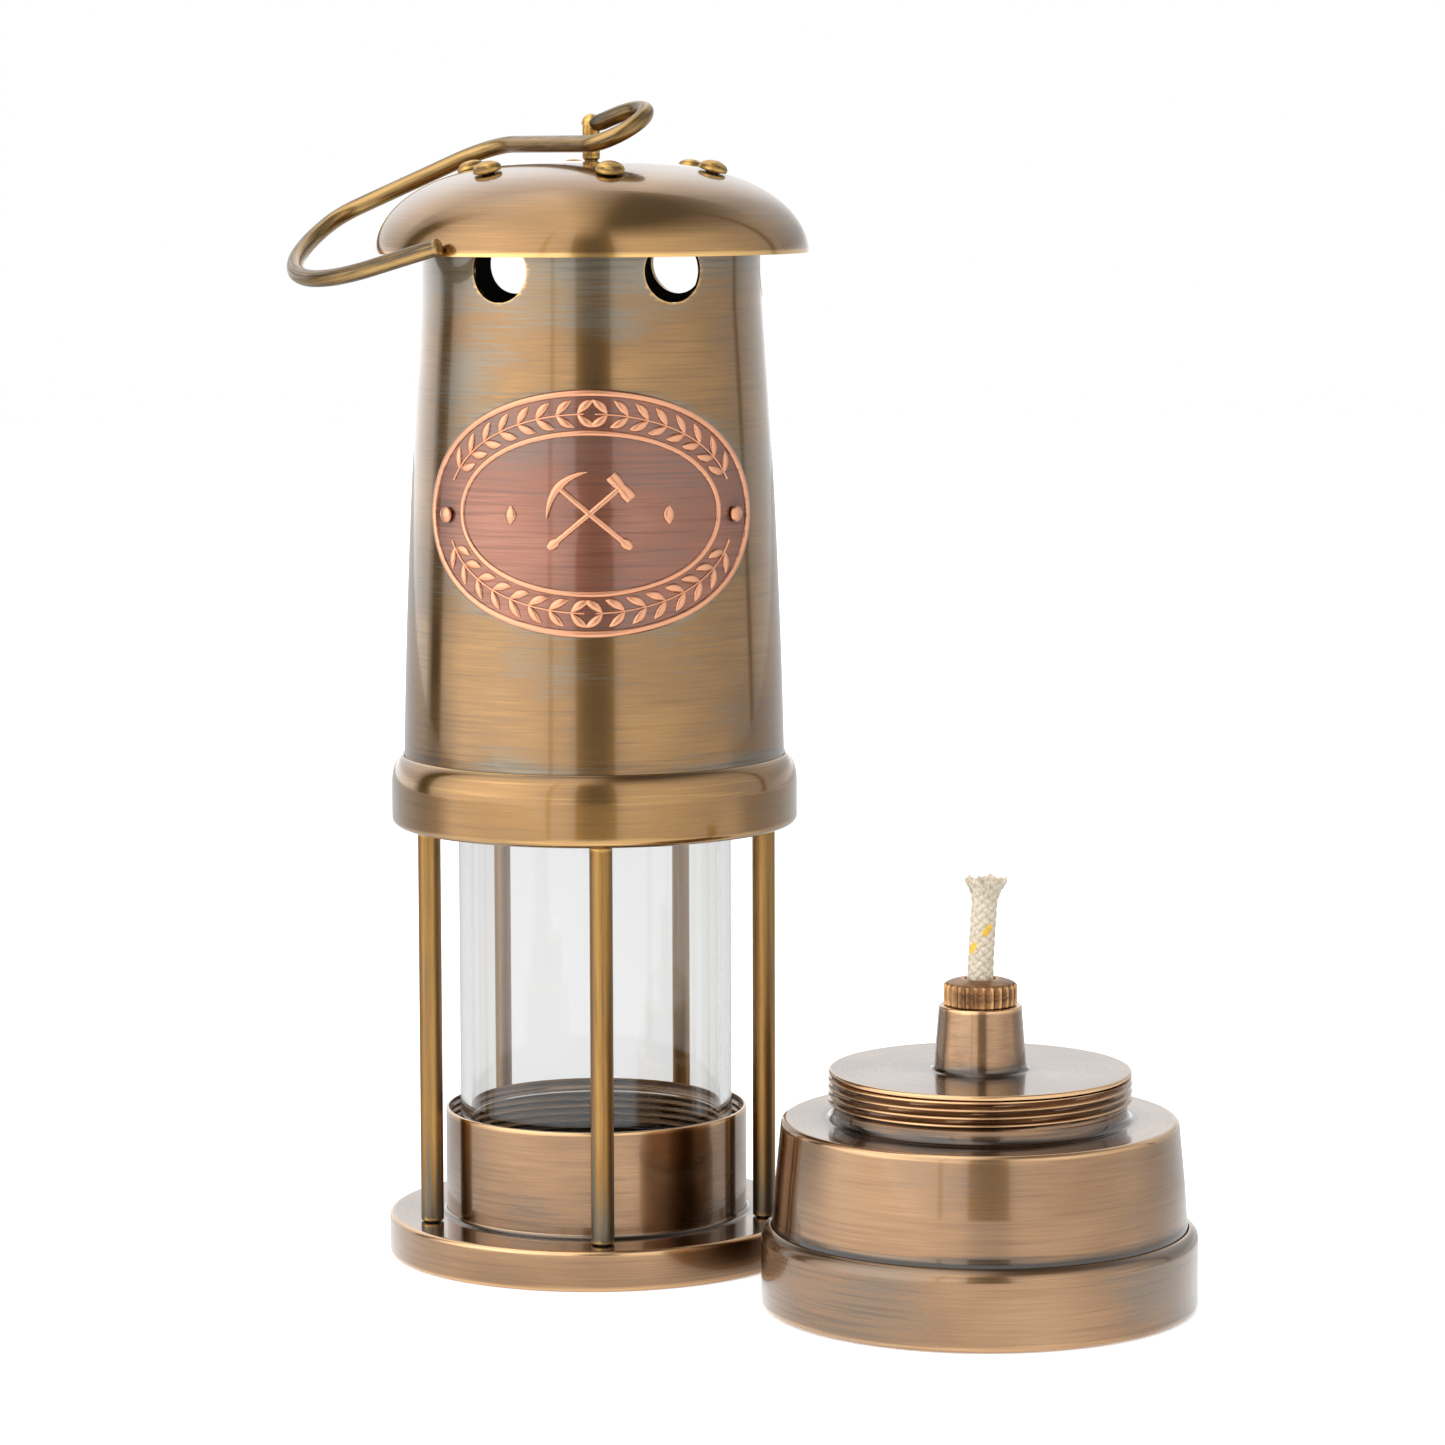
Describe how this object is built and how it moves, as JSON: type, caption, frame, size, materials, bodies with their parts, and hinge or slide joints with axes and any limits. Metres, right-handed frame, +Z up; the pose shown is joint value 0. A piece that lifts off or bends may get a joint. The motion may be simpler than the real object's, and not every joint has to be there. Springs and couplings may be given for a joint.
{
  "type": "miner's safety lamp",
  "caption": "Miner's safety lamp in antique brass: vented bonnet, domed hood, glass chimney in pillars and a swivelling wire hook, with its unscrewed oil font and wick standing beside it.",
  "frame": {"origin": "middle of the box round the whole group, on the surface it stands on", "axes": "+Z up along the lamp; +X to the right and +Y to the back, seen from the side with the nameplate"},
  "size_m": [0.1803, 0.1388, 0.2342],
  "materials": {
    "lamp_bronze": "lacquered antique bronze, brushed, satin",
    "lamp_brass": "lacquered antique brass, brushed, satin",
    "crown_brass": "lacquered antique brass, brushed, warmer and glossier",
    "pillar_brass": "antique brass rod, drawn, satin",
    "rivet_brass": "antique brass, burnished by handling",
    "hook_brass": "antique brass wire, streaked, satin",
    "copper": "antique copper, brushed, raised work burnished",
    "glass": "clear borosilicate tube, fire-polished ends",
    "wick_cotton": "braided cotton, frayed end",
    "gasket_fibre": "pressed fibre washer"
  },
  "bodies": {
    "lamp_frame": {"base_flange": "lamp_bronze", "threaded_collar": "lamp_bronze", "pillar_1": "pillar_brass", "pillar_2": "pillar_brass", "pillar_3": "pillar_brass", "pillar_4": "pillar_brass", "pillar_5": "pillar_brass", "crown_ring": "crown_brass", "glass_chimney": "glass", "glass_gasket": "gasket_fibre", "glass_retaining_ring": "lamp_brass", "bonnet": "lamp_brass", "bonnet_inner_cap": "lamp_brass", "dome_hood": "crown_brass", "dome_rivet_1": "rivet_brass", "dome_rivet_2": "rivet_brass", "dome_rivet_3": "rivet_brass", "dome_rivet_4": "rivet_brass", "dome_rivet_5": "rivet_brass", "dome_rivet_6": "rivet_brass", "nameplate": "copper", "nameplate_rivet_left": "copper", "nameplate_rivet_right": "copper", "swivel_washer": "lamp_brass"},
    "swivel": {"swivel_post": "rivet_brass"},
    "hook": {"hook": "hook_brass"},
    "font": {"font_base_plate": "lamp_bronze", "font_band": "lamp_bronze", "font_shell": "lamp_bronze", "font_neck": "lamp_bronze", "font_top_plate": "lamp_bronze", "burner_cone": "lamp_bronze"},
    "wick_tube": {"wick_tube": "lamp_brass"},
    "burner_cap": {"burner_cap": "lamp_bronze"},
    "wick": {"wick": "wick_cotton"}
  },
  "joints": [
    {"name": "swivel_turn", "type": "hinge", "parent": "lamp_frame", "child": "swivel", "pos_m": [-0.0284, 0.0254, 0.2225], "axis": [0, 0, 1], "continuous": true},
    {"name": "hook_raise", "type": "hinge", "parent": "swivel", "child": "hook", "pos_m": [-0.0284, 0.0254, 0.2298], "axis": [-0.515, 0.8572, 0], "range_deg": [0, 118]},
    {"name": "font_lift", "type": "slide", "parent": "lamp_frame", "child": "font", "axis": [0, 0, 1], "range_m": [0, 0.1]},
    {"name": "burner_rise", "type": "slide", "parent": "font", "child": "wick_tube", "axis": [0, 0, 1], "range_m": [0, 0.004]},
    {"name": "burner_turn", "type": "hinge", "parent": "wick_tube", "child": "burner_cap", "pos_m": [0.0477, -0.0267, 0.057], "axis": [0, 0, 1], "range_deg": [0, 1441]},
    {"name": "wick_feed", "type": "slide", "parent": "wick_tube", "child": "wick", "axis": [0, 0, 1], "range_m": [-0.003, 0.012]}
  ],
  "couplings": [
    {"joint": "burner_turn", "follows": "burner_rise", "rad_per_m": 6283.2}
  ]
}
